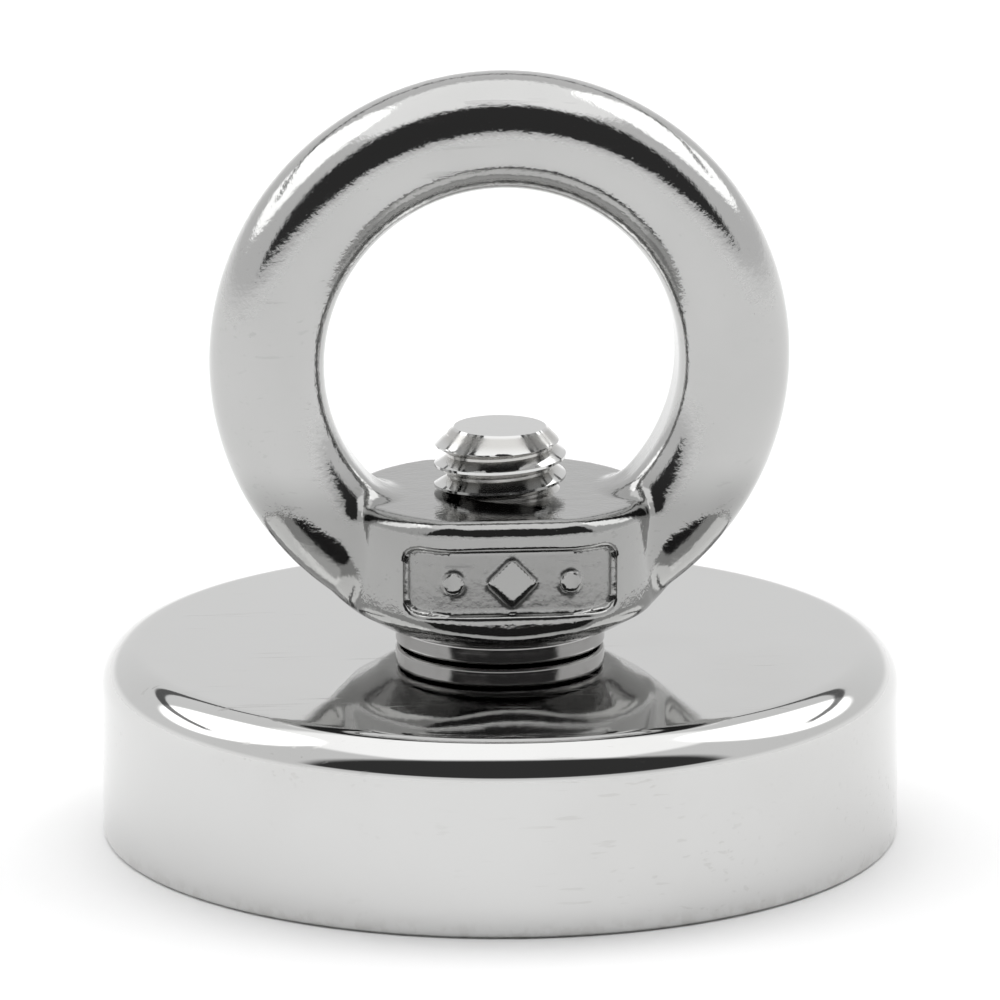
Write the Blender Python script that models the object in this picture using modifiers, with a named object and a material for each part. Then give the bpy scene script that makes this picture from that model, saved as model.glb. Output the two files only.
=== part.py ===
"""Fishing magnet: a plated steel pot that holds a ring magnet, with an eye nut for the rope.

A countersunk socket screw comes up through the magnet and the pot. A lock washer and the eye nut
go on its end, and the eye nut unscrews along the real right-hand thread.

Metres, +Z up. The origin is the centre of the pot's open face, which rests on the ground.
The eye faces along Y.
"""

import math

import bmesh
import bpy
from mathutils import Matrix

MM = 0.001

# Pot: a turned cup, open side down.
POT_RADIUS = 24.0 * MM
POT_HEIGHT = 11.5 * MM
POT_TOP_FILLET = 2.4 * MM
POT_RIM_CHAMFER = 0.4 * MM
POT_WALL = 3.2 * MM
POT_FLOOR = 4.3 * MM

# Magnet and the resin that fills the ring between it and the pot.
RESIN_WIDTH = 1.5 * MM
MAGNET_RECESS = 0.2 * MM
MAGNET_CHAMFER = 0.3 * MM
RESIN_RECESS = 0.5 * MM
GLUE_GAP = 0.1 * MM

# Screw: M8 x 25, countersunk, with a socket for a 5 mm key. Its length includes the head, and is
# near the shortest that the standard allows.
THREAD_RADIUS = 3.95 * MM
THREAD_PITCH = 1.25 * MM
SCREW_LENGTH = 24.6 * MM
SCREW_RECESS = 0.2 * MM
SCREW_TIP_CHAMFER = 1.2 * MM
HEAD_RADIUS = 8.0 * MM
HEAD_RIM = 0.5 * MM
SOCKET_ACROSS_FLATS = 5.0 * MM
SOCKET_DEPTH = 3.0 * MM
SCREW_HOLE_CLEARANCE = 0.55 * MM
SINK_CLEARANCE = 0.3 * MM

# Lock washer.
WASHER_RADIUS = 6.3 * MM
WASHER_THICKNESS = 1.2 * MM
WASHER_BORE_CLEARANCE = 0.35 * MM
WASHER_CHAMFER = 0.15 * MM
WASHER_SPLIT = 0.8 * MM
WASHER_SPLIT_SLANT = math.radians(25)
SEAT_GAP = 0.1 * MM

# Eye nut: a forged ring, flat inside its hole, on a round hub that is flattened front and back.
# A cone under the hub narrows it towards the washer.
EYE_OUTER_RADIUS = 17.4 * MM
EYE_HOLE_RADIUS = 10.6 * MM
EYE_LAND_WIDTH = 3.8 * MM
EYE_CENTRE_HEIGHT = 16.1 * MM
HUB_RADIUS = 9.5 * MM
HUB_HEIGHT = 8.0 * MM
HUB_FOOT_RADIUS = 7.1 * MM
HUB_CONE_HEIGHT = 1.4 * MM
HUB_TOP_CHAMFER = 0.8 * MM
HUB_ACROSS_FLATS = 17.3 * MM
THREAD_CLEARANCE = 0.3 * MM

# Recessed panel on the hub's front and back, with plain raised marks in it.
PANEL_WIDTH = 12.6 * MM
PANEL_HEIGHT = 3.9 * MM
PANEL_DEPTH = 0.45 * MM
PANEL_CORNER = 0.9 * MM
MARK_RADIUS = 1.5 * MM
DOT_RADIUS = 0.65 * MM
MARK_HEIGHT = 0.3 * MM
MARK_SPACING = 3.5 * MM

# How finely round shapes are divided.
POT_STEPS = 72
HUB_STEPS = 48
THREAD_STEPS = 24
RING_STEPS = 56
BAR_STEPS = 18
DOT_STEPS = 16
ARC_POINTS = 5
MERGE = 1e-6

# Sizes that follow from those above.
FLANK_ANGLE = math.radians(30)
THREAD_DEPTH = 0.6134 * THREAD_PITCH
THREAD_CREST = THREAD_PITCH / 8
THREAD_FLANK = THREAD_DEPTH * math.tan(FLANK_ANGLE)
THREAD_ROOT = THREAD_PITCH - 2 * THREAD_FLANK - THREAD_CREST
SCREW_HOLE_RADIUS = THREAD_RADIUS + SCREW_HOLE_CLEARANCE
SCREW_TIP = SCREW_RECESS + SCREW_LENGTH
CUP_RADIUS = POT_RADIUS - POT_WALL
CUP_FLOOR = POT_HEIGHT - POT_FLOOR
MAGNET_RADIUS = CUP_RADIUS - RESIN_WIDTH
MAGNET_TOP = CUP_FLOOR - GLUE_GAP
WASHER_BOTTOM = POT_HEIGHT + SEAT_GAP
WASHER_TOP = WASHER_BOTTOM + WASHER_THICKNESS
NUT_BOTTOM = WASHER_TOP + SEAT_GAP
NUT_TOP = NUT_BOTTOM + HUB_HEIGHT
CONE_TOP = NUT_BOTTOM + HUB_CONE_HEIGHT
EYE_BAR = EYE_OUTER_RADIUS - EYE_HOLE_RADIUS
EYE_BAR_RADIUS = (EYE_BAR**2 + (EYE_LAND_WIDTH / 2) ** 2) / (2 * EYE_BAR)
EYE_RADIUS = EYE_OUTER_RADIUS - EYE_BAR_RADIUS
EYE_CENTRE = NUT_BOTTOM + EYE_CENTRE_HEIGHT
PAST = 1.0 * MM  # how far a cutter runs past the shape that it cuts

PLATED = ((0.72, 0.71, 0.69), 0.15, 1.0)
MAGNET_NICKEL = ((0.66, 0.65, 0.62), 0.3, 1.0)
RESIN = ((0.02, 0.02, 0.022), 0.45, 0.0)


def clear_scene():
    for thing in list(bpy.data.objects):
        bpy.data.objects.remove(thing)


def new_collection(name):
    found = bpy.data.collections.new(name)
    bpy.context.scene.collection.children.link(found)
    return found


def new_material(name, colour, roughness, metallic):
    material = bpy.data.materials.new(name)
    material.use_nodes = True
    shader = material.node_tree.nodes["Principled BSDF"]
    shader.inputs["Base Color"].default_value = (*colour, 1.0)
    shader.inputs["Roughness"].default_value = roughness
    shader.inputs["Metallic"].default_value = metallic
    return material


def add_part(name, mesh, material):
    part = bpy.data.objects.new(name, mesh)
    PARTS.objects.link(part)
    part.data.materials.append(material)
    return part


def add_cutter(name, mesh):
    cutter = bpy.data.objects.new(name, mesh)
    CUTTERS.objects.link(cutter)
    cutter.hide_render = True
    cutter.display_type = "WIRE"
    return cutter


def mesh_from(bm, name):
    mesh = bpy.data.meshes.new(name)
    bm.to_mesh(mesh)
    bm.free()
    return mesh


def arc(centre, radius, start, end, points=ARC_POINTS):
    """Points (r, z) along an arc, from the start angle to the end angle, in degrees."""
    found = []
    for i in range(points + 1):
        angle = math.radians(start + (end - start) * i / points)
        found.append((centre[0] + radius * math.cos(angle), centre[1] + radius * math.sin(angle)))
    return found


def profile_mesh(name, points, closed):
    """A wire in the XZ plane through the points (r, z), for a Screw modifier to turn."""
    mesh = bpy.data.meshes.new(name)
    edges = [(i, i + 1) for i in range(len(points) - 1)]
    if closed:
        edges.append((len(points) - 1, 0))
    mesh.from_pydata([(r, 0.0, z) for r, z in points], edges, [])
    return mesh


def turn(part, steps):
    """Turns the part's profile about Z."""
    screw = part.modifiers.new("turn", "SCREW")
    screw.steps = steps
    screw.render_steps = steps
    screw.use_merge_vertices = True
    screw.merge_threshold = MERGE
    return part


def boolean(part, operation, other):
    modifier = part.modifiers.new(f"{operation.lower()} {other.name}", "BOOLEAN")
    modifier.operation = operation
    modifier.object = other
    modifier.solver = "EXACT"


def box_mesh(name, size, centre):
    bm = bmesh.new()
    bmesh.ops.create_cube(bm, size=1.0)
    bmesh.ops.scale(bm, vec=size, verts=bm.verts)
    bmesh.ops.translate(bm, vec=centre, verts=bm.verts)
    return mesh_from(bm, name)


def rod_mesh(name, radius, length, sides):
    """A plain rod or prism along Z, centred on the origin. The radius is to its corners."""
    bm = bmesh.new()
    ends = {"radius1": radius, "radius2": radius}
    bmesh.ops.create_cone(bm, cap_ends=True, segments=sides, depth=length, **ends)
    return mesh_from(bm, name)


def threaded_rod_mesh(name, crest_radius, bottom, top):
    """A rod with the right-hand thread, running a pitch past both ends for a Boolean to trim.

    The rod's teeth start at a whole number of pitches from the origin, so every rod made here is
    in mesh with every other. Its edges are turned half a step away from those of the hub.
    """
    root_radius = crest_radius - THREAD_DEPTH
    first = math.floor(bottom / THREAD_PITCH) - 2
    last = math.ceil(top / THREAD_PITCH) + 1
    points = [(0.0, first * THREAD_PITCH)]
    for tooth in range(first, last):
        z = tooth * THREAD_PITCH
        crest = z + THREAD_ROOT + THREAD_FLANK
        points += [
            (root_radius, z),
            (root_radius, z + THREAD_ROOT),
            (crest_radius, crest),
            (crest_radius, crest + THREAD_CREST),
        ]
    points += [(root_radius, last * THREAD_PITCH), (0.0, last * THREAD_PITCH)]
    bm = bmesh.new()
    verts = [bm.verts.new((r, 0.0, z)) for r, z in points]
    edges = [bm.edges.new(pair) for pair in zip(verts, verts[1:])]
    bmesh.ops.spin(
        bm,
        geom=verts + edges,
        axis=(0, 0, 1),
        cent=(0, 0, 0),
        dvec=(0, 0, THREAD_PITCH / THREAD_STEPS),
        angle=2 * math.pi,
        steps=THREAD_STEPS,
    )
    bmesh.ops.remove_doubles(bm, verts=bm.verts, dist=MERGE)
    bmesh.ops.holes_fill(bm, edges=[e for e in bm.edges if e.is_boundary], sides=0)
    bmesh.ops.recalc_face_normals(bm, faces=bm.faces)
    mesh = mesh_from(bm, name)
    mesh.transform(Matrix.Rotation(math.pi / HUB_STEPS, 4, "Z"))
    return mesh


def steel_pot():
    shoulder = (POT_RADIUS - POT_TOP_FILLET, POT_HEIGHT - POT_TOP_FILLET)
    profile = [
        (SCREW_HOLE_RADIUS, POT_HEIGHT),
        *arc(shoulder, POT_TOP_FILLET, 90, 0),
        (POT_RADIUS, POT_RIM_CHAMFER),
        (POT_RADIUS - POT_RIM_CHAMFER, 0.0),
        (CUP_RADIUS, 0.0),
        (CUP_RADIUS, CUP_FLOOR),
        (SCREW_HOLE_RADIUS, CUP_FLOOR),
    ]
    return turn(add_part("steel_pot", profile_mesh("pot_profile", profile, True), plated), POT_STEPS)


def ring_magnet():
    sink_radius = HEAD_RADIUS + SINK_CLEARANCE
    sink_start = SCREW_RECESS + HEAD_RIM
    profile = [
        (SCREW_HOLE_RADIUS, MAGNET_TOP),
        (MAGNET_RADIUS - MAGNET_CHAMFER, MAGNET_TOP),
        (MAGNET_RADIUS, MAGNET_TOP - MAGNET_CHAMFER),
        (MAGNET_RADIUS, MAGNET_RECESS + MAGNET_CHAMFER),
        (MAGNET_RADIUS - MAGNET_CHAMFER, MAGNET_RECESS),
        (sink_radius, MAGNET_RECESS),
        (sink_radius, sink_start),
        (SCREW_HOLE_RADIUS, sink_start + sink_radius - SCREW_HOLE_RADIUS),
    ]
    part = add_part("ring_magnet", profile_mesh("magnet_profile", profile, True), magnet_nickel)
    return turn(part, POT_STEPS)


def resin_seal():
    inner = MAGNET_RADIUS + GLUE_GAP
    outer = CUP_RADIUS - GLUE_GAP
    profile = [(inner, MAGNET_TOP), (outer, MAGNET_TOP), (outer, RESIN_RECESS), (inner, RESIN_RECESS)]
    part = add_part("resin_seal", profile_mesh("resin_profile", profile, True), resin)
    return turn(part, POT_STEPS)


def screw_head():
    """The 90 degree head with its neck, which the threaded shank grows out of."""
    neck_radius = THREAD_RADIUS - THREAD_DEPTH / 2
    cone_start = SCREW_RECESS + HEAD_RIM
    cone_end = cone_start + HEAD_RADIUS - neck_radius
    profile = [
        (0.0, cone_end + PAST),
        (neck_radius, cone_end + PAST),
        (neck_radius, cone_end),
        (HEAD_RADIUS, cone_start),
        (HEAD_RADIUS, SCREW_RECESS),
        (0.0, SCREW_RECESS),
    ]
    head = add_cutter("screw_head", profile_mesh("head_profile", profile, False))
    return turn(head, HUB_STEPS), cone_end


def shank_envelope(bottom):
    """What the threaded rod is trimmed to: a flat lower end inside the head and a chamfered tip."""
    radius = THREAD_RADIUS + PAST
    tip_radius = THREAD_RADIUS - SCREW_TIP_CHAMFER
    profile = [
        (0.0, SCREW_TIP),
        (tip_radius, SCREW_TIP),
        (radius, SCREW_TIP - (radius - tip_radius)),
        (radius, bottom),
        (0.0, bottom),
    ]
    return turn(add_cutter("shank_envelope", profile_mesh("shank_profile", profile, False)), HUB_STEPS)


def hex_socket():
    """The socket for the key, cut up into the head from its face."""
    depth = SOCKET_DEPTH + PAST
    mesh = rod_mesh("hex_socket", SOCKET_ACROSS_FLATS / 2 / math.cos(math.pi / 6), depth, 6)
    mesh.transform(Matrix.Translation((0, 0, SCREW_RECESS + SOCKET_DEPTH - depth / 2)))
    return add_cutter("hex_socket", mesh)


def countersunk_screw():
    head, cone_end = screw_head()
    shank_bottom = cone_end - PAST
    rod = threaded_rod_mesh("screw_thread", THREAD_RADIUS, shank_bottom, SCREW_TIP)
    part = add_part("countersunk_screw", rod, plated)
    boolean(part, "INTERSECT", shank_envelope(shank_bottom))
    boolean(part, "UNION", head)
    boolean(part, "DIFFERENCE", hex_socket())
    return part


def lock_washer():
    """A split ring. The slanted split faces away from the eye's front."""
    bore = THREAD_RADIUS + WASHER_BORE_CLEARANCE
    profile = [
        (bore, WASHER_TOP),
        (WASHER_RADIUS - WASHER_CHAMFER, WASHER_TOP),
        (WASHER_RADIUS, WASHER_TOP - WASHER_CHAMFER),
        (WASHER_RADIUS, WASHER_BOTTOM + WASHER_CHAMFER),
        (WASHER_RADIUS - WASHER_CHAMFER, WASHER_BOTTOM),
        (bore, WASHER_BOTTOM),
    ]
    part = add_part("lock_washer", profile_mesh("washer_profile", profile, True), plated)
    turn(part, HUB_STEPS)
    size = (WASHER_SPLIT, WASHER_RADIUS + PAST, 4 * WASHER_THICKNESS)
    split = box_mesh("washer_split", size, (0, 0, 0))
    split.transform(Matrix.Rotation(WASHER_SPLIT_SLANT, 4, "Y"))
    middle = (0, (WASHER_RADIUS + PAST) / 2 + PAST, (WASHER_TOP + WASHER_BOTTOM) / 2)
    split.transform(Matrix.Translation(middle))
    boolean(part, "DIFFERENCE", add_cutter("washer_split", split))
    return part


def eye_ring():
    """The ring, flat inside its hole, without the part of it that the hub takes the place of."""
    land_angle = 180 - math.degrees(math.asin(EYE_LAND_WIDTH / 2 / EYE_BAR_RADIUS))
    profile = arc((EYE_RADIUS, 0.0), EYE_BAR_RADIUS, land_angle, -land_angle, BAR_STEPS)
    ring = add_cutter("eye_ring", profile_mesh("bar_profile", profile, True))
    ring.location = (0, 0, EYE_CENTRE)
    ring.rotation_euler = (math.pi / 2, 0, 0)
    turn(ring, RING_STEPS)
    width = 2 * (EYE_OUTER_RADIUS + PAST)
    foot = box_mesh("ring_foot", (width, width, HUB_HEIGHT), (0, 0, ring_meets_hub() - HUB_HEIGHT / 2))
    boolean(ring, "DIFFERENCE", add_cutter("ring_foot", foot))
    return ring


def ring_meets_hub():
    """The height on the hub's straight side at which the ring's outside is as wide as the hub."""
    return max(CONE_TOP, EYE_CENTRE - math.sqrt(EYE_OUTER_RADIUS**2 - HUB_RADIUS**2))


def flattened(part, name, across_flats):
    """Cuts the part's front and back flat."""
    middle = (0, 0, NUT_BOTTOM + HUB_HEIGHT / 2)
    slab = box_mesh(name, (4 * HUB_RADIUS, across_flats, 2 * HUB_HEIGHT), middle)
    boolean(part, "INTERSECT", add_cutter(name, slab))
    return part


def panels():
    """The front and back recesses: a rounded bar through the hub, less the core that it leaves."""
    middle = (0, 0, (CONE_TOP + NUT_TOP - HUB_TOP_CHAMFER) / 2)
    mesh = box_mesh("panels", (PANEL_WIDTH, 2 * (HUB_RADIUS + PAST), PANEL_HEIGHT), middle)
    weights = mesh.attributes.new("bevel_weight_edge", "FLOAT", "EDGE")
    for edge in mesh.edges:
        start, end = (mesh.vertices[i].co for i in edge.vertices)
        if start.y * end.y < 0:
            weights.data[edge.index].value = 1.0
    bar = add_cutter("panels", mesh)
    corners = bar.modifiers.new("corners", "BEVEL")
    corners.width = PANEL_CORNER
    corners.segments = 3
    corners.limit_method = "WEIGHT"
    core_mesh = rod_mesh("panel_core", HUB_RADIUS - PANEL_DEPTH, 2 * HUB_HEIGHT, HUB_STEPS)
    core_mesh.transform(Matrix.Translation(middle))
    core = add_cutter("panel_core", core_mesh)
    boolean(bar, "DIFFERENCE", flattened(core, "core_flats", HUB_ACROSS_FLATS - 2 * PANEL_DEPTH))
    dot = (DOT_RADIUS, DOT_STEPS)
    marks = ((-MARK_SPACING, *dot), (0, MARK_RADIUS, 4), (MARK_SPACING, *dot))
    length = HUB_ACROSS_FLATS - 2 * PANEL_DEPTH + 2 * MARK_HEIGHT
    for number, (x, radius, sides) in enumerate(marks):
        mark = rod_mesh(f"mark_{number}", radius, length, sides)
        mark.transform(Matrix.Translation((x, 0, middle[2])) @ Matrix.Rotation(math.pi / 2, 4, "X"))
        boolean(bar, "DIFFERENCE", add_cutter(f"mark_{number}", mark))
    return bar


def eye_nut():
    profile = [
        (0.0, NUT_TOP),
        (HUB_RADIUS - HUB_TOP_CHAMFER, NUT_TOP),
        (HUB_RADIUS, NUT_TOP - HUB_TOP_CHAMFER),
        (HUB_RADIUS, CONE_TOP),
        (HUB_FOOT_RADIUS, NUT_BOTTOM),
        (0.0, NUT_BOTTOM),
    ]
    part = turn(add_part("eye_nut", profile_mesh("hub_profile", profile, False), plated), HUB_STEPS)
    flattened(part, "hub_flats", HUB_ACROSS_FLATS)
    boolean(part, "UNION", eye_ring())
    thread = threaded_rod_mesh("nut_thread", THREAD_RADIUS + THREAD_CLEARANCE, NUT_BOTTOM, NUT_TOP)
    boolean(part, "DIFFERENCE", add_cutter("nut_thread", thread))
    boolean(part, "DIFFERENCE", panels())
    return part


clear_scene()
PARTS = new_collection("fishing_magnet")
CUTTERS = new_collection("cutters")
plated = new_material("plated_steel", *PLATED)
magnet_nickel = new_material("magnet_nickel", *MAGNET_NICKEL)
resin = new_material("black_resin", *RESIN)
steel_pot()
ring_magnet()
resin_seal()
countersunk_screw()
lock_washer()
eye_nut()
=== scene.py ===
"""A fishing magnet: a plated steel pot round a ring magnet, with an eye nut screwed on top."""

import math

import bmesh
import bpy
import numpy as np
from mathutils import Matrix, Vector


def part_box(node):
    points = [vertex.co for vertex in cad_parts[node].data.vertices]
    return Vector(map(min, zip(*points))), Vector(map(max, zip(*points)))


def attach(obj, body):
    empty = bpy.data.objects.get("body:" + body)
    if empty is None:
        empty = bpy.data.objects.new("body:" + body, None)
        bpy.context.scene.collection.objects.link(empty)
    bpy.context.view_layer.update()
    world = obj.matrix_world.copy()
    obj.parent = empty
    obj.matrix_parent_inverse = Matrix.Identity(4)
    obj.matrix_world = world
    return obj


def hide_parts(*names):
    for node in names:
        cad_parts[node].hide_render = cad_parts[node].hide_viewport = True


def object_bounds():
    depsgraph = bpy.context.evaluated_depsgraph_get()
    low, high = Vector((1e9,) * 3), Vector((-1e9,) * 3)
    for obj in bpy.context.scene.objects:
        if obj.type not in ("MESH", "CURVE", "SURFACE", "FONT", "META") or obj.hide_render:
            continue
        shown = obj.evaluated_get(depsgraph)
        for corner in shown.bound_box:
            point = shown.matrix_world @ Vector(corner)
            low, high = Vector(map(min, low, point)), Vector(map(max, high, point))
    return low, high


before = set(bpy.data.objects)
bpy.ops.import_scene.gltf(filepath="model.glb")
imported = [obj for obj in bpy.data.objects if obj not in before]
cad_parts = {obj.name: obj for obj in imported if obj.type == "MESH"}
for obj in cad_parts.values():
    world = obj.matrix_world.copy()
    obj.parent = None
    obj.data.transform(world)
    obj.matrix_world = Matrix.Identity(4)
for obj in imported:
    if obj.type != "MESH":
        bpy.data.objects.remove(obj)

cad_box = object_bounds()
MM = 0.001


# ---------------------------------------------------------------------------------------------
# The studio
# A pale floor under a white sky, brightest overhead and at the horizon, with one dark card above
# the camera and two bright boxes beside it. Plated steel shows nothing but what stands round it.
# ---------------------------------------------------------------------------------------------

class Value:
    """A number in a node tree. Arithmetic on it adds Math nodes."""

    def __init__(self, tree, socket):
        self.tree = tree
        self.socket = socket

    def maths(self, operation, *values):
        inputs = dict(enumerate(values))
        return self.tree.add("ShaderNodeMath", {"operation": operation}, inputs)

    def __add__(self, other):
        return self.maths("ADD", self, other)

    def __sub__(self, other):
        return self.maths("SUBTRACT", self, other)

    def __rsub__(self, other):
        return self.maths("SUBTRACT", other, self)

    def __mul__(self, other):
        return self.maths("MULTIPLY", self, other)

    def __truediv__(self, other):
        return self.maths("DIVIDE", self, other)

    def __pow__(self, other):
        return self.maths("POWER", self, other)

    def __abs__(self):
        return self.maths("ABSOLUTE", self)

    __radd__ = __add__
    __rmul__ = __mul__

    def least(self, other):
        return self.maths("MINIMUM", self, other)

    def most(self, other):
        return self.maths("MAXIMUM", self, other)

    def fraction(self):
        return self.maths("FRACT", self)

    def rise(self, low, high):
        """0 below low and 1 above high, with a smooth step between them."""
        inputs = {"Value": self, "From Min": low, "From Max": high}
        return self.tree.add("ShaderNodeMapRange", {"interpolation_type": "SMOOTHSTEP"}, inputs)


class Tree:
    """A node tree. Its add method makes any node: its settings first, then its inputs."""

    def __init__(self, tree):
        self.tree = tree
        tree.nodes.clear()

    def add(self, kind, settings=None, inputs=None, output=0):
        node = self.tree.nodes.new(kind)
        for name, setting in (settings or {}).items():
            setattr(node, name, setting)
        for name, value in (inputs or {}).items():
            if isinstance(value, Value):
                self.tree.links.new(value.socket, node.inputs[name])
            else:
                node.inputs[name].default_value = value
        if isinstance(output, tuple):
            return tuple(Value(self, node.outputs[name]) for name in output)
        return Value(self, node.outputs[output]) if len(node.outputs) else node


SKY = 0.86
CARD = 0.045
BOX = 1.3
CEILING = 0.6
HAZE = 0.25
BOX_SPREAD = math.radians(24)
BOX_DIRECTION = Vector((0.70, 0.30, 0.65)).normalized()
GAP_HEIGHT = 0.5
GAP_WIDTH = 0.03

world = bpy.data.worlds.new("studio")
world.use_nodes = True
bpy.context.scene.world = world
sky = Tree(world.node_tree)
direction = sky.add("ShaderNodeTexCoord", output="Generated")
across, along, up = sky.add("ShaderNodeSeparateXYZ", inputs={0: direction}, output=(0, 1, 2))
card = up.rise(0.17, 0.22) * (0 - along).rise(0.40, 0.52)
towards_box = abs(across) * BOX_DIRECTION.x + along * BOX_DIRECTION.y + up * BOX_DIRECTION.z
box = towards_box.rise(math.cos(BOX_SPREAD), math.cos(BOX_SPREAD * 0.85))
gap = (1 - abs(up - GAP_HEIGHT).rise(GAP_WIDTH * 0.6, GAP_WIDTH)) * along.rise(0.2, 0.3)
ceiling = up.rise(0.78, 0.84)
haze = 1 - up.rise(0.03, 0.15)
light = (SKY + box * BOX + ceiling * CEILING + haze * HAZE) * (1 - gap * 0.85) * (1 - card) + card * CARD
background = sky.add("ShaderNodeBackground", inputs={"Color": (1, 1, 1, 1), "Strength": light})
sky.add("ShaderNodeOutputWorld", inputs={"Surface": background})

FLOOR_SIZE = 6.0
floor_mesh = bpy.data.meshes.new("floor")
floor_shape = bmesh.new()
bmesh.ops.create_grid(floor_shape, x_segments=1, y_segments=1, size=FLOOR_SIZE / 2)
floor_shape.to_mesh(floor_mesh)
floor_shape.free()
floor = bpy.data.objects.new("floor", floor_mesh)
bpy.context.scene.collection.objects.link(floor)
pale = bpy.data.materials.new("pale_floor")
pale.use_nodes = True
pale.node_tree.nodes["Principled BSDF"].inputs["Base Color"].default_value = (0.93, 0.93, 0.93, 1)
pale.node_tree.nodes["Principled BSDF"].inputs["Roughness"].default_value = 0.8
floor.data.materials.append(pale)

LAMP_SPREAD = math.radians(50)
LAMP_POWER = 0.5
LAMP_DIRECTION = Vector((0.03, 0.14, 0.4))
lamp = bpy.data.lights.new("overhead", "SUN")
lamp.angle = LAMP_SPREAD
lamp.energy = LAMP_POWER
overhead = bpy.data.objects.new("overhead", lamp)
overhead.rotation_euler = LAMP_DIRECTION.to_track_quat("Z", "Y").to_euler()
overhead.visible_glossy = False
bpy.context.scene.collection.objects.link(overhead)

CAMERA_TURN = math.radians(-5)
CAMERA_RISE = math.radians(14)
CAMERA_DISTANCE = 0.5
CAMERA_FIELD = 0.060  # the width of the view at the magnet
lowest_seen = -cad_box[1][0] * math.tan(CAMERA_RISE)
middle = Vector((0, 0, (cad_box[1][2] + lowest_seen) / 2))
camera_data = bpy.data.cameras.new("camera")
camera_data.lens = camera_data.sensor_width * CAMERA_DISTANCE / CAMERA_FIELD
camera = bpy.data.objects.new("camera", camera_data)
sight = Vector((math.sin(CAMERA_TURN), -math.cos(CAMERA_TURN), 0)) * math.cos(CAMERA_RISE)
sight.z = math.sin(CAMERA_RISE)
camera.location = middle + sight * CAMERA_DISTANCE
camera.rotation_euler = sight.to_track_quat("Z", "Y").to_euler()
bpy.context.scene.collection.objects.link(camera)
bpy.context.scene.camera = camera
bpy.context.scene.view_settings.view_transform = "Standard"


# ---------------------------------------------------------------------------------------------
# Pot
# A cup turned from soft steel and plated in bright nickel, open side down, with a hole through
# its top for the screw. Its lathe marks run round it under the plating.
# ---------------------------------------------------------------------------------------------

ROUND = 256  # sides of a large turned piece


def outline(*corners):
    """Points (r, z) of a closed outline with corners (r, z, radius), every corner an arc.

    A point close beside each arc keeps its shading off the flats.
    """
    points = []
    for number, (r, z, radius) in enumerate(corners):
        corner = Vector((r, z))
        back = (Vector(corners[number - 1][:2]) - corner).normalized()
        ahead = (Vector(corners[(number + 1) % len(corners)][:2]) - corner).normalized()
        half = back.angle(ahead) / 2
        centre = corner + (back + ahead).normalized() * radius / math.sin(half)
        reach = radius / math.tan(half)
        start = corner + back * reach - centre
        end = corner + ahead * reach - centre
        steps = max(3, round((math.pi - 2 * half) / math.radians(8)))
        points.append(corner + back * reach * 1.15)
        for step in range(steps + 1):
            share = step / steps
            points.append(centre + (start * (1 - share) + end * share).normalized() * radius)
        points.append(corner + ahead * reach * 1.15)
    return points


def turned(points, sides, angle=2 * math.pi):
    """A bmesh of the outline swept round Z, closed at both ends if it stops short of a turn."""
    shape = bmesh.new()
    verts = [shape.verts.new((r, 0, z)) for r, z in points]
    edges = [shape.edges.new((verts[i - 1], verts[i])) for i in range(len(verts))]
    bmesh.ops.spin(
        shape, geom=verts + edges, axis=(0, 0, 1), cent=(0, 0, 0), angle=angle, steps=sides
    )
    bmesh.ops.remove_doubles(shape, verts=shape.verts, dist=1e-7)
    bmesh.ops.holes_fill(shape, edges=[e for e in shape.edges if e.is_boundary], sides=0)
    bmesh.ops.recalc_face_normals(shape, faces=shape.faces)
    return shape


def piece(name, shape, material, smooth=True):
    """An object with the shape and the material, at the origin."""
    mesh = shape
    if isinstance(shape, bmesh.types.BMesh):
        mesh = bpy.data.meshes.new(name)
        shape.to_mesh(mesh)
        shape.free()
    mesh.materials.clear()
    mesh.materials.append(material)
    if smooth:
        mesh.shade_smooth()
    made = bpy.data.objects.new(name, mesh)
    bpy.context.scene.collection.objects.link(made)
    return made


def stands_for(made, body, node):
    """The piece replaces a CAD node: it rides on that node's body, and the node is hidden."""
    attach(made, body)
    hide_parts(node)


def finish(name):
    """A new material's tree and the point on the piece that its patterns are read from."""
    material = bpy.data.materials.new(name)
    material.use_nodes = True
    tree = Tree(material.node_tree)
    return material, tree, tree.add("ShaderNodeTexCoord", output="Object")


def noise(tree, point, per_mm, detail=3.0, stretch=(1, 1, 1), turn=(0, 0, 0)):
    """Smooth noise about 0.5, with so many swings to a millimetre."""
    scale = tuple(per_mm / MM * s for s in stretch)
    placed = tree.add("ShaderNodeMapping", inputs={"Vector": point, "Scale": scale, "Rotation": turn})
    return tree.add("ShaderNodeTexNoise", inputs={"Vector": placed, "Scale": 1.0, "Detail": detail})


def hairlines(tree, point, turn):
    """Fine straight scratches: 1 on a scratch and 0 off it."""
    fine = noise(tree, point, 2.2, 2.0, (0.05, 1, 1), turn)
    patches = noise(tree, point, 0.12, 2.0)
    return fine.rise(0.66, 0.70) * patches.rise(0.45, 0.6)


def plated(tree, colour, roughness, height, depth):
    """Bright plating whose height, in parts of the depth, and roughness change over the piece."""
    normal = tree.add("ShaderNodeBump", inputs={"Height": height, "Distance": depth, "Strength": 1.0})
    metal = tree.add(
        "ShaderNodeBsdfPrincipled",
        inputs={"Base Color": colour, "Metallic": 1.0, "Roughness": roughness, "Normal": normal},
    )
    tree.add("ShaderNodeOutputMaterial", inputs={"Surface": metal})


def blend(tree, share, first, second):
    """The first colour where share is 0 and the second where it is 1."""
    inputs = {"Factor": share, 6: (*first, 1), 7: (*second, 1)}
    return tree.add("ShaderNodeMix", {"data_type": "RGBA"}, inputs, output=2)


NICKEL = (0.62, 0.62, 0.615)
NICKEL_WORN = (0.52, 0.515, 0.505)

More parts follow.
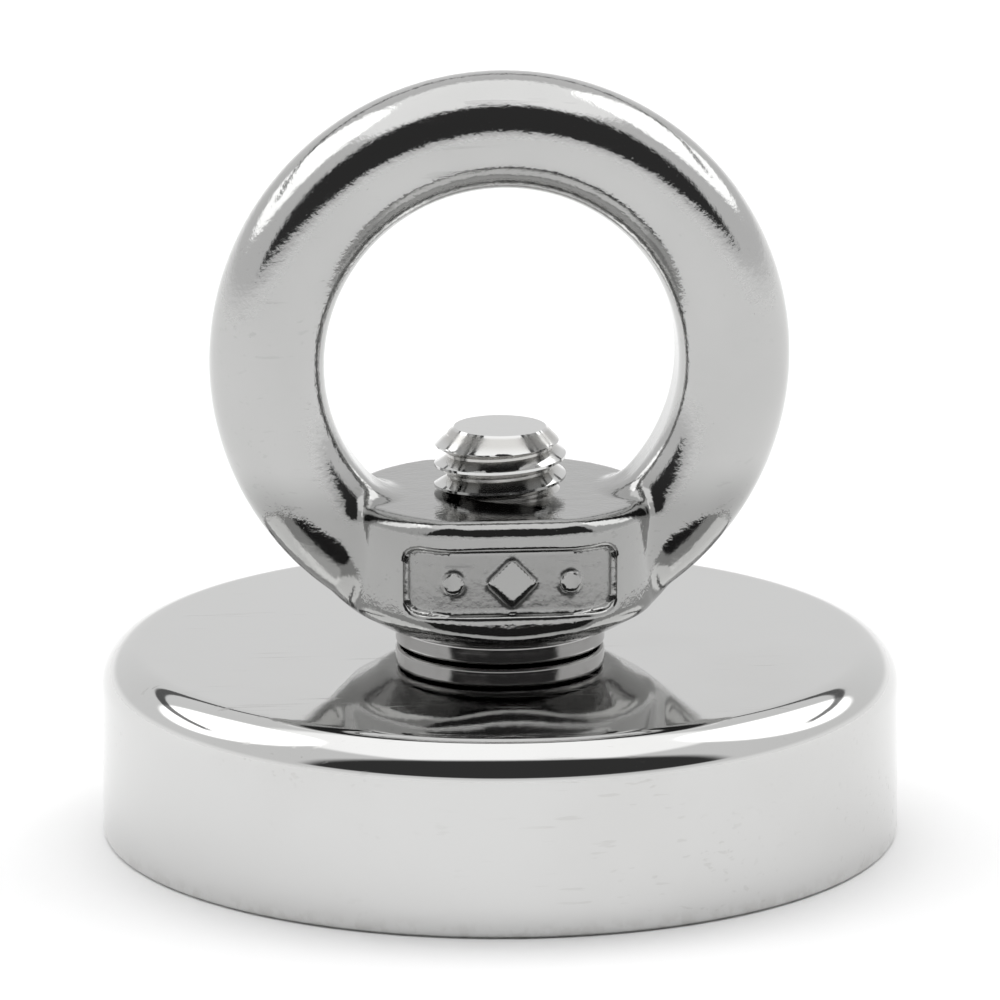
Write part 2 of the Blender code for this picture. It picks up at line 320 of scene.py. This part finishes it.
pot_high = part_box("steel_pot")[1]
magnet_low, magnet_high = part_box("ring_magnet")
resin_low, resin_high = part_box("resin_seal")
POT_RADIUS = pot_high[0]
POT_HEIGHT = pot_high[2]
GLUE_GAP = 0.1 * MM
CUP_RADIUS = resin_high[0] + GLUE_GAP
CUP_FLOOR = magnet_high[2] + GLUE_GAP
POT_HOLE = 4.5 * MM
POT_SHOULDER = 2.4 * MM

material, tree, point = finish("bright_nickel_pot")
x, y, z = tree.add("ShaderNodeSeparateXYZ", inputs={0: point}, output=(0, 1, 2))
radius = (x * x + y * y) ** 0.5
LATHE_MARKS = 5200.0  # to a metre
lathe = {"W": (radius + z) * LATHE_MARKS, "Scale": 1.0, "Detail": 4.0}
rings = tree.add("ShaderNodeTexNoise", {"noise_dimensions": "1D"}, lathe)
smudge = noise(tree, point, 0.06, 4.0).rise(0.42, 0.68)
scratch = hairlines(tree, point, (0.2, 0.1, 0.5)).most(hairlines(tree, point, (0.1, 0.3, 2.1)))
ripple = noise(tree, point, 0.35, 2.0)
edge = (radius - (POT_RADIUS - 0.9 * MM)).rise(0, 0.9 * MM) * (1 - z.rise(0.2 * MM, 1.2 * MM))
wear = edge * noise(tree, point, 1.1, 3.0).rise(0.45, 0.6)
plated(
    tree,
    blend(tree, (smudge * 0.25 + scratch * 0.4 + wear * 0.6).least(1), NICKEL, NICKEL_WORN),
    0.035 + smudge * 0.03 + scratch * 0.14 + wear * 0.12,
    rings * 0.10 + ripple * 0.8 + (1 - scratch) * 0.12 + noise(tree, point, 3.0, 2.0) * 0.05,
    0.004 * MM,
)
shell = outline(
    (POT_HOLE, POT_HEIGHT, 0.2 * MM),
    (POT_RADIUS, POT_HEIGHT, POT_SHOULDER),
    (POT_RADIUS, 0, 0.35 * MM),
    (CUP_RADIUS, 0, 0.15 * MM),
    (CUP_RADIUS, CUP_FLOOR, 0.3 * MM),
    (POT_HOLE, CUP_FLOOR, 0.2 * MM),
)
pot = piece("polished_pot", turned(shell, ROUND), material)
stands_for(pot, "base", "steel_pot")


# ---------------------------------------------------------------------------------------------
# Ring magnet
# Sintered neodymium, ground flat and plated, glued into the cup a little behind the rim. The
# face that grips has a sink for the screw's head and the scuffs of what it has picked up.
# ---------------------------------------------------------------------------------------------

GROUND = (0.62, 0.61, 0.59)
SCUFFED = (0.42, 0.41, 0.39)
SINK_RADIUS = 8.3 * MM
SINK_RIM = 0.7 * MM

material, tree, point = finish("ground_magnet_nickel")
grain = noise(tree, point, 1.6, 4.0, (0.08, 1, 1), (0, 0, 0.4))
scratch = hairlines(tree, point, (0, 0, 1.1)).most(hairlines(tree, point, (0, 0, 2.6)))
scuff = noise(tree, point, 0.15, 5.0).rise(0.5, 0.68)
plated(
    tree,
    blend(tree, (scuff * 0.6 + scratch * 0.4).least(1), GROUND, SCUFFED),
    0.16 + grain * 0.1 + scuff * 0.12 + scratch * 0.15,
    grain * 0.5 + (1 - scratch) * 0.5 + noise(tree, point, 2.5, 3.0) * 0.3,
    0.006 * MM,
)
ring = outline(
    (POT_HOLE, magnet_high[2], 0.2 * MM),
    (magnet_high[0], magnet_high[2], 0.4 * MM),
    (magnet_high[0], magnet_low[2], 0.4 * MM),
    (SINK_RADIUS, magnet_low[2], 0.15 * MM),
    (SINK_RADIUS, SINK_RIM, 0.1 * MM),
    (POT_HOLE, SINK_RIM + SINK_RADIUS - POT_HOLE, 0.2 * MM),
)
magnet = piece("plated_ring_magnet", turned(ring, ROUND), material)
stands_for(magnet, "base", "ring_magnet")


# ---------------------------------------------------------------------------------------------
# Resin
# Black resin poured into the ring between magnet and cup. It set with a hollow face, because it
# creeps up both walls, and with small bubbles here and there.
# ---------------------------------------------------------------------------------------------

RESIN_HOLLOW = 0.35 * MM
BUBBLES = 46

material, tree, point = finish("poured_black_resin")
wave = noise(tree, point, 0.5, 3.0)
dust = noise(tree, point, 4.0, 3.0).rise(0.6, 0.75)
normal = tree.add("ShaderNodeBump", inputs={"Height": wave, "Distance": 0.05 * MM, "Strength": 1.0})
cured = tree.add(
    "ShaderNodeBsdfPrincipled",
    inputs={
        "Base Color": blend(tree, dust, (0.012, 0.012, 0.014), (0.05, 0.047, 0.043)),
        "Roughness": 0.22 + dust * 0.35 + wave * 0.1,
        "Normal": normal,
    },
)
tree.add("ShaderNodeOutputMaterial", inputs={"Surface": cured})
resin_material = material

resin_inside = magnet_high[0] + GLUE_GAP
resin_middle = (resin_inside + resin_high[0]) / 2
resin_half = (resin_high[0] - resin_inside) / 2
fill = [Vector((resin_inside, resin_high[2])), Vector((resin_high[0], resin_high[2]))]
for step in range(13):
    share = 1 - step / 6
    hollow = RESIN_HOLLOW * (1 - share * share)
    fill.append(Vector((resin_middle + share * resin_half, resin_low[2] + hollow)))
resin = piece("resin_fill", turned(fill, ROUND), resin_material)
stands_for(resin, "base", "resin_seal")

# The bubbles are domes strewn round the ring by nodes.
bubble_tree = bpy.data.node_groups.new("bubbles", "GeometryNodeTree")
bubble_tree.interface.new_socket("Geometry", in_out="OUTPUT", socket_type="NodeSocketGeometry")
for name in ("Radius", "Spread", "Height", "Count", "Size"):
    kind = "NodeSocketInt" if name == "Count" else "NodeSocketFloat"
    bubble_tree.interface.new_socket(name, in_out="INPUT", socket_type=kind)
strew = Tree(bubble_tree)
radius, spread, height, count, size = strew.add(
    "NodeGroupInput", output=("Radius", "Spread", "Height", "Count", "Size")
)
circle = strew.add("GeometryNodeMeshCircle", inputs={"Vertices": count, "Radius": radius})
random = {"data_type": "FLOAT_VECTOR"}
jitter = strew.add("FunctionNodeRandomValue", random, {0: (-1, -1, 0), 1: (1, 1, 0), "Seed": 5})
scaled = strew.add("ShaderNodeVectorMath", {"operation": "SCALE"}, {0: jitter, "Scale": spread})
lift = strew.add("ShaderNodeCombineXYZ", inputs={"Z": height})
offset = strew.add("ShaderNodeVectorMath", {"operation": "ADD"}, {0: scaled, 1: lift})
placed = strew.add("GeometryNodeSetPosition", inputs={"Geometry": circle, "Offset": offset})
dome = strew.add("GeometryNodeMeshIcoSphere", inputs={"Radius": size, "Subdivisions": 3})
growth = strew.add("FunctionNodeRandomValue", {"data_type": "FLOAT"}, {2: 0.4, 3: 1.0, "Seed": 8}, 1)
domes = strew.add(
    "GeometryNodeInstanceOnPoints", inputs={"Points": placed, "Instance": dome, "Scale": growth}
)
real = strew.add("GeometryNodeRealizeInstances", inputs={"Geometry": domes})
clad = strew.add("GeometryNodeSetMaterial", inputs={"Geometry": real, "Material": resin_material})
strew.add("NodeGroupOutput", inputs={"Geometry": clad})


def grown(name, group, inputs, material):
    """A piece made from nothing by a node group with the named inputs, as a plain mesh."""
    seedling = bpy.data.objects.new(name, bpy.data.meshes.new(name))
    bpy.context.scene.collection.objects.link(seedling)
    nodes = seedling.modifiers.new("nodes", "NODES")
    nodes.node_group = group
    for item in group.interface.items_tree:
        if item.in_out == "INPUT":
            nodes[item.identifier] = inputs[item.name]
    evaluated = seedling.evaluated_get(bpy.context.evaluated_depsgraph_get())
    mesh = bpy.data.meshes.new_from_object(evaluated)
    bpy.data.objects.remove(seedling)
    return piece(name, mesh, material)


bubbles = grown(
    "resin_bubbles",
    bubble_tree,
    {
        "Radius": resin_middle,
        "Spread": resin_half * 0.35,
        "Height": resin_low[2] + RESIN_HOLLOW,
        "Count": BUBBLES,
        "Size": 0.2 * MM,
    },
    resin_material,
)
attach(bubbles, "base")


# ---------------------------------------------------------------------------------------------
# Countersunk screw
# An M8 socket screw, its right-hand thread rolled and then plated. It comes up through magnet
# and pot, and its chamfered tip stands out of the eye nut.
# ---------------------------------------------------------------------------------------------

# Darker nickel for the painted shade and oil in the thread roots, and for scratches.
ROOT_SHADE_OIL_AND_SCRATCH = (0.42, 0.41, 0.39)
PITCH = 1.25 * MM
THREAD_RADIUS = 3.95 * MM
THREAD_DEPTH = 0.6134 * PITCH
HEAD_RADIUS = 8.0 * MM
HEAD_RIM = 0.5 * MM
SOCKET_FLATS = 5.0 * MM
SOCKET_DEPTH = 3.0 * MM
ROWS_A_TURN = 16
COLUMNS = 96
TIP_CHAMFER = 1.2 * MM
THREAD_TURN = math.pi / 48  # how far the CAD's thread is turned about Z

# A grid is wrapped round Z as a helix, so that the thread's edges run along its rows. Each row
# stands a sixteenth of the pitch above the last: the crest and the root each take two rows.
thread_tree = bpy.data.node_groups.new("thread", "GeometryNodeTree")
thread_tree.interface.new_socket("Geometry", in_out="OUTPUT", socket_type="NodeSocketGeometry")
for name in ("Crest", "Depth", "Pitch", "Bottom", "Top", "End Radius", "Start Angle"):
    thread_tree.interface.new_socket(name, in_out="INPUT", socket_type="NodeSocketFloat")
for name in ("Rows", "Columns"):
    thread_tree.interface.new_socket(name, in_out="INPUT", socket_type="NodeSocketInt")
helix = Tree(thread_tree)
crest, depth, pitch, bottom, top, end_radius, start_angle, rows, columns = helix.add(
    "NodeGroupInput",
    output=("Crest", "Depth", "Pitch", "Bottom", "Top", "End Radius", "Start Angle", "Rows", "Columns"),
)
grid = helix.add(
    "GeometryNodeMeshGrid",
    inputs={"Size X": 1.0, "Size Y": 1.0, "Vertices X": columns + 1, "Vertices Y": rows + 1},
)
place = helix.add("GeometryNodeInputPosition")
u, v, _ = helix.add("ShaderNodeSeparateXYZ", inputs={0: place}, output=(0, 1, 2))
turn_share = u + 0.5
row = ((v + 0.5) * rows).maths("ROUND", (v + 0.5) * rows)
first_turn = (bottom / pitch).maths("FLOOR", bottom / pitch) - 1
free_height = (first_turn + row / ROWS_A_TURN + turn_share) * pitch
tooth = abs((row / ROWS_A_TURN).fraction() * 2 - 1)  # 1 in the middle of the root, 0 at the crest's
flank = helix.add("ShaderNodeMapRange", inputs={"Value": tooth, "From Min": 0.125, "From Max": 0.875})
height = free_height.most(bottom).least(top)
limit = end_radius + (top - height).least(height - bottom)
inside = row.rise(0.2, 0.4) * (rows - row).rise(0.2, 0.4)
wall = (crest - depth * flank).least(limit) * inside
angle = turn_share * (2 * math.pi) + start_angle
where = helix.add(
    "ShaderNodeCombineXYZ",
    inputs={
        0: wall * angle.maths("COSINE", angle),
        1: wall * angle.maths("SINE", angle),
        2: height,
    },
)
wrapped = helix.add("GeometryNodeSetPosition", inputs={"Geometry": grid, "Position": where})
closed = helix.add("GeometryNodeMergeByDistance", inputs={"Geometry": wrapped, "Distance": 1e-6})
helix.add("NodeGroupOutput", inputs={"Geometry": closed})


def threaded(name, crest, bottom, top, end_radius, material):
    """A rod with the thread from bottom to top, closed at both ends."""
    turns = math.ceil((top - bottom) / PITCH) + 3
    sizes = {"Crest": crest, "Depth": THREAD_DEPTH, "Pitch": PITCH, "Bottom": bottom, "Top": top}
    sizes |= {"End Radius": end_radius, "Start Angle": THREAD_TURN}
    sizes |= {"Rows": turns * ROWS_A_TURN, "Columns": COLUMNS}
    rod = grown(name, thread_tree, sizes, material)
    shape = bmesh.new()
    shape.from_mesh(rod.data)
    bmesh.ops.remove_doubles(shape, verts=shape.verts, dist=1e-6)
    bmesh.ops.dissolve_degenerate(shape, edges=shape.edges, dist=1e-7)
    bmesh.ops.recalc_face_normals(shape, faces=shape.faces)
    shape.to_mesh(rod.data)
    shape.free()
    return rod


def joined(base, operation, *others):
    """The base's mesh after Booleans with the others, which are used up."""
    for other in others:
        modifier = base.modifiers.new("boolean", "BOOLEAN")
        modifier.operation = operation
        modifier.object = other
    evaluated = base.evaluated_get(bpy.context.evaluated_depsgraph_get())
    mesh = bpy.data.meshes.new_from_object(evaluated)
    for used in (base, *others):
        bpy.data.objects.remove(used)
    # The join leaves slivers, which are taken out.
    cleaned = bmesh.new()
    cleaned.from_mesh(mesh)
    bmesh.ops.remove_doubles(cleaned, verts=cleaned.verts, dist=1e-6)
    bmesh.ops.dissolve_degenerate(cleaned, edges=cleaned.edges, dist=1e-7)
    cleaned.to_mesh(mesh)
    cleaned.free()
    return mesh


screw_low, screw_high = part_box("countersunk_screw")
material, tree, point = finish("bright_nickel_screw")
x, y, z = tree.add("ShaderNodeSeparateXYZ", inputs={0: point}, output=(0, 1, 2))
radius = (x * x + y * y) ** 0.5
# Painted shade and oil: the thread roots are darker above the pot and short of the tip.
root = 1 - (radius - (THREAD_RADIUS - THREAD_DEPTH)).rise(0, THREAD_DEPTH * 0.8)
root_shade_and_oil = root * z.rise(5 * MM, 7 * MM) * (1 - (z - screw_high[2]).rise(-0.2 * MM, -0.05 * MM))
rolled = noise(tree, point, 2.4, 4.0, (1, 1, 0.3))
scratch = hairlines(tree, point, (0.3, 0.2, 0.9))
plated(
    tree,
    blend(tree, (root_shade_and_oil * 0.6 + scratch * 0.4).least(1), NICKEL, ROOT_SHADE_OIL_AND_SCRATCH),
    0.05 + root_shade_and_oil * 0.12 + scratch * 0.12 + rolled * 0.03,
    rolled * 0.6 + noise(tree, point, 0.7, 2.0) + (1 - scratch) * 0.2,
    0.008 * MM,
)
screw_material = material

neck = THREAD_RADIUS - THREAD_DEPTH * 0.47
cone_top = screw_low[2] + HEAD_RIM + HEAD_RADIUS - neck
head_outline = outline(
    (0.5 * MM, cone_top + MM, 0.1 * MM),
    (neck, cone_top + MM, 0.1 * MM),
    (neck, cone_top, 0.1 * MM),
    (HEAD_RADIUS, screw_low[2] + HEAD_RIM, 0.1 * MM),
    (HEAD_RADIUS, screw_low[2], 0.12 * MM),
    (0.5 * MM, screw_low[2], 0.1 * MM),
)
# Half a step of turn keeps the head's edges off the thread's, for a clean join.
head_shape = turned(head_outline, ROUND)
half_step = Matrix.Rotation(math.pi / ROUND, 3, "Z")
bmesh.ops.rotate(head_shape, verts=head_shape.verts, matrix=half_step)
head = piece("head", head_shape, screw_material)
tip_radius = THREAD_RADIUS - TIP_CHAMFER
shank_start = screw_low[2] + MM  # below the socket's floor, so that the head is solid above it
shank = threaded("shank", THREAD_RADIUS, shank_start, screw_high[2], tip_radius, screw_material)
socket_shape = bmesh.new()
bmesh.ops.create_cone(
    socket_shape,
    cap_ends=True,
    segments=6,
    radius1=SOCKET_FLATS / 2 / math.cos(math.pi / 6),
    radius2=SOCKET_FLATS / 2 / math.cos(math.pi / 6),
    depth=2 * SOCKET_DEPTH,
    matrix=Matrix.Translation((0, 0, screw_low[2])),
)
socket = piece("socket", socket_shape, screw_material, smooth=False)
blank = piece("blank", joined(head, "UNION", shank), screw_material)
screw_mesh = joined(blank, "DIFFERENCE", socket)
screw = piece("threaded_screw", screw_mesh, screw_material)
screw.data.set_sharp_from_angle(angle=math.radians(32))
stands_for(screw, "base", "countersunk_screw")


# ---------------------------------------------------------------------------------------------
# Lock washer
# A ring of spring steel wire, square in section, cut through at a slant and plated. It lies
# between pot and eye nut and turns with the nut.
# ---------------------------------------------------------------------------------------------

SPRING_STEEL = (0.46, 0.455, 0.45)
SPRING_STAIN = (0.36, 0.35, 0.34)
WASHER_BORE = 4.3 * MM
SPLIT_WIDTH = 0.8 * MM
SPLIT_SLANT = math.radians(25)

washer_low, washer_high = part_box("lock_washer")
WASHER_RADIUS = washer_high[0]
washer_middle = (washer_low[2] + washer_high[2]) / 2

material, tree, point = finish("bright_nickel_washer")
x, y, z = tree.add("ShaderNodeSeparateXYZ", inputs={0: point}, output=(0, 1, 2))
DRAWN_MARKS = 3500.0  # to a metre
drawing = {"W": z * DRAWN_MARKS, "Scale": 1.0, "Detail": 2.0}
drawn = tree.add("ShaderNodeTexNoise", {"noise_dimensions": "1D"}, drawing)
scratch = hairlines(tree, point, (0.9, 0.2, 0.3))
patch = noise(tree, point, 0.5, 3.0).rise(0.45, 0.65)
plated(
    tree,
    blend(tree, (patch * 0.5 + scratch * 0.3).least(1), SPRING_STEEL, SPRING_STAIN),
    0.07 + patch * 0.08 + scratch * 0.12,
    drawn * 0.5 + noise(tree, point, 1.1, 3.0) + (1 - scratch) * 0.2,
    0.008 * MM,
)
band = outline(
    (WASHER_BORE, washer_high[2], 0.15 * MM),
    (WASHER_RADIUS, washer_high[2], 0.25 * MM),
    (WASHER_RADIUS, washer_low[2], 0.25 * MM),
    (WASHER_BORE, washer_low[2], 0.15 * MM),
)
gap_angle = SPLIT_WIDTH / ((WASHER_BORE + WASHER_RADIUS) / 2)
coil = turned(band, 120, 2 * math.pi - gap_angle)
bmesh.ops.rotate(coil, verts=coil.verts, matrix=Matrix.Rotation(math.pi / 2 + gap_angle / 2, 3, "Z"))
for vert in coil.verts:
    lean = (vert.co.z - washer_middle) * math.tan(SPLIT_SLANT) / vert.co.xy.length
    vert.co = Matrix.Rotation(-lean, 3, "Z") @ vert.co
washer = piece("spring_washer", coil, material)
washer.data.set_sharp_from_angle(angle=math.radians(40))
stands_for(washer, "washer", "lock_washer")


# ---------------------------------------------------------------------------------------------
# Eye nut
# One forging, polished and plated: a ring that is flat inside its hole, running down into a
# threaded hub. The hub is flattened front and back, with a recessed panel on each side.
# ---------------------------------------------------------------------------------------------

RING_NICKEL = (0.49, 0.49, 0.485)
SHADE_AND_SCUFF_NICKEL = (0.30, 0.30, 0.295)  # darker nickel: painted shade on the hub and the panel floors, and the smudges, scratches and pits
VOXEL = 0.195 * MM
HUB_RADIUS = 9.5 * MM
HUB_HEIGHT = 8.0 * MM
HUB_FOOT_RADIUS = 7.1 * MM
HUB_CONE_HEIGHT = 1.4 * MM
HUB_TOP_CHAMFER = 0.8 * MM
HUB_CONE_ROUND = 0.5 * MM
HUB_UPPER_ROUND = 1.0 * MM
EYE_HOLE_RADIUS = 10.6 * MM
EYE_LAND_WIDTH = 3.8 * MM
LAND_ROUND = 0.35 * MM
RING_BLEND = 0.9 * MM
PANEL_WIDTH = 12.6 * MM
PANEL_HEIGHT = 3.9 * MM
PANEL_DEPTH = 0.45 * MM
PANEL_CORNER = 0.9 * MM
MARK_RADIUS = 1.5 * MM
DOT_RADIUS = 0.65 * MM
DOT_PLACE = 3.5 * MM
MARK_RISE = 0.3 * MM
THREAD_CLEARANCE = 0.3 * MM

nut_low, nut_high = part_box("eye_nut")
NUT_BOTTOM = nut_low[2]
NUT_TOP = NUT_BOTTOM + HUB_HEIGHT
EYE_OUTER_RADIUS = nut_high[0]
EYE_CENTRE = nut_high[2] - EYE_OUTER_RADIUS
HALF_FLATS = nut_high[1]
eye_bar = EYE_OUTER_RADIUS - EYE_HOLE_RADIUS
BAR_RADIUS = (eye_bar**2 + (EYE_LAND_WIDTH / 2) ** 2) / (2 * eye_bar)
EYE_RADIUS = EYE_OUTER_RADIUS - BAR_RADIUS
CONE_TOP = NUT_BOTTOM + HUB_CONE_HEIGHT
RING_FOOT = max(CONE_TOP, EYE_CENTRE - math.sqrt(EYE_OUTER_RADIUS**2 - HUB_RADIUS**2))
panel_middle = (CONE_TOP + NUT_TOP - HUB_TOP_CHAMFER) / 2
cone_slope = math.atan2(HUB_CONE_HEIGHT, HUB_RADIUS - HUB_FOOT_RADIUS)


def both(first, second, radius):
    """Distance to what is inside both shapes, with a round of that radius on the edge."""
    over = np.hypot(np.maximum(first + radius, 0), np.maximum(second + radius, 0))
    return np.minimum(-radius, np.maximum(first, second)) + over


def either(first, second, radius):
    """Distance to the two shapes together, with a fillet of that radius between them."""
    return -both(-first, -second, radius)


def forging(point):
    """Distance from the forging's skin, below zero inside it."""
    x, y, z = np.abs(point[:, 0]), np.abs(point[:, 1]), point[:, 2]
    from_eye = np.hypot(x, z - EYE_CENTRE)
    bar = np.hypot(from_eye - EYE_RADIUS, y) - BAR_RADIUS
    ring = both(bar, EYE_HOLE_RADIUS - from_eye, LAND_ROUND)
    ring = both(ring, RING_FOOT - z, 0.3 * MM)
    radius = np.hypot(x, y)
    side = both(radius - HUB_RADIUS, y - HALF_FLATS, 0.6 * MM)
    out, over = radius - HUB_FOOT_RADIUS, z - NUT_BOTTOM
    cone = out * math.sin(cone_slope) - over * math.cos(cone_slope)
    hub = both(both(both(side, cone, HUB_CONE_ROUND), -over, 0.2 * MM), z - NUT_TOP, HUB_UPPER_ROUND)
    blank = either(ring, hub, RING_BLEND)
    along = x - PANEL_WIDTH / 2 + PANEL_CORNER
    above = np.abs(z - panel_middle) - PANEL_HEIGHT / 2 + PANEL_CORNER
    rim = np.hypot(np.maximum(along, 0), np.maximum(above, 0)) - PANEL_CORNER
    rim += np.minimum(np.maximum(along, above), 0)
    diamond = (x + np.abs(z - panel_middle) - MARK_RADIUS) * math.sqrt(0.5)
    dot = np.hypot(x - DOT_PLACE, z - panel_middle) - DOT_RADIUS
    marks = both(np.minimum(diamond, dot), side + PANEL_DEPTH - MARK_RISE, 0.15 * MM)
    recess = both(rim, -side - PANEL_DEPTH, 0.2 * MM)
    recess = both(recess, -marks, 0.15 * MM)
    return both(blank, -recess, 0.3 * MM)


def snapped(place):
    """The points moved on to the forging's skin."""
    step = 0.01 * MM
    for _ in range(5):
        slope = np.stack(
            [forging(place + step * axis) - forging(place - step * axis) for axis in np.eye(3)], axis=1
        ) / (2 * step)
        steepness = np.maximum((slope**2).sum(axis=1), 0.25)
        place = place - (forging(place) / steepness)[:, None] * slope
    return place


# The frame's own nut, with its bore filled, is divided into small even faces. They are then
# drawn on to the skin that the forging has, where every edge and every join is rounded.
blank_shape = bmesh.new()
blank_shape.from_mesh(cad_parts["eye_nut"].data)
bmesh.ops.remove_doubles(blank_shape, verts=blank_shape.verts, dist=1e-6)
bmesh.ops.create_cone(
    blank_shape,
    cap_ends=True,
    segments=48,
    radius1=THREAD_RADIUS + 2 * THREAD_CLEARANCE,
    radius2=THREAD_RADIUS + 2 * THREAD_CLEARANCE,
    depth=HUB_HEIGHT,
    matrix=Matrix.Translation((0, 0, NUT_BOTTOM + HUB_HEIGHT / 2)),
)

material, tree, point = finish("polished_forging_nickel")
x, y, z = tree.add("ShaderNodeSeparateXYZ", inputs={0: point}, output=(0, 1, 2))
# Painted shade: the hub below the ring takes the darker nickel.
shaded_hub = 1 - z.rise(NUT_TOP - MM, NUT_TOP + 2.5 * MM)
beside = (PANEL_WIDTH / 2 - abs(x)).rise(0, 0.4 * MM)
level = (PANEL_HEIGHT / 2 - abs(z - panel_middle)).rise(0, 0.4 * MM)
behind_side = ((x * x + y * y) ** 0.5 - HUB_RADIUS).most(abs(y) - HALF_FLATS)
# The recessed panel floors: rougher and bumpier cast metal, and darkened by painted shade.
rough_shaded_panel_floor = beside * level * (1 - behind_side.rise(-PANEL_DEPTH * 0.9, -PANEL_DEPTH * 0.4))
cast = noise(tree, point, 1.5, 4.0)
forged = noise(tree, point, 0.8, 4.0)
grain = noise(tree, point, 3.5, 4.0)
pits = noise(tree, point, 3.2, 3.0).rise(0.70, 0.78)
scratch = hairlines(tree, point, (0.3, 1.2, 0.4)).most(hairlines(tree, point, (0.8, 0.1, 1.6)))
smudge = noise(tree, point, 0.09, 4.0).rise(0.42, 0.68)
# The colour mixes painted shade on the hub and panel floors with real smudges, scratches and pits.
plated(
    tree,
    blend(
        tree,
        (shaded_hub * 0.8 + rough_shaded_panel_floor * 0.2 + smudge * 0.12 + scratch * 0.15 + pits * 0.2).least(1),
        RING_NICKEL,
        SHADE_AND_SCUFF_NICKEL,
    ),
    0.03 + smudge * 0.03 + grain * 0.05 + scratch * 0.12 + pits * 0.1 + rough_shaded_panel_floor * 0.2,
    forged * 1.6 + grain * 0.9 + (1 - pits) * 0.3 + (1 - scratch) * 0.12 + rough_shaded_panel_floor * cast * 3.0,
    0.012 * MM,
)
nut_material = material

blank = piece("nut_blank", blank_shape, nut_material)
remesh = blank.modifiers.new("even", "REMESH")
remesh.mode = "VOXEL"
remesh.voxel_size = VOXEL
even = bmesh.new()
even.from_mesh(joined(blank, "UNION"))
SMOOTHINGS = 3
for _ in range(SMOOTHINGS):
    bmesh.ops.smooth_vert(
        even, verts=even.verts, factor=0.5, use_axis_x=True, use_axis_y=True, use_axis_z=True
    )
    places = snapped(np.array([vert.co for vert in even.verts]))
    for vert, place in zip(even.verts, places):
        vert.co = place
forged_nut = piece("forged_nut", even, nut_material)
bore = threaded(
    "bore", THREAD_RADIUS + THREAD_CLEARANCE, NUT_BOTTOM - 2 * MM, NUT_TOP + 2 * MM, MM, nut_material
)
nut_mesh = joined(forged_nut, "DIFFERENCE", bore)
nut = piece("forged_eye_nut", nut_mesh, nut_material)
nut.data.set_sharp_from_angle(angle=math.radians(40))
stands_for(nut, "eye", "eye_nut")
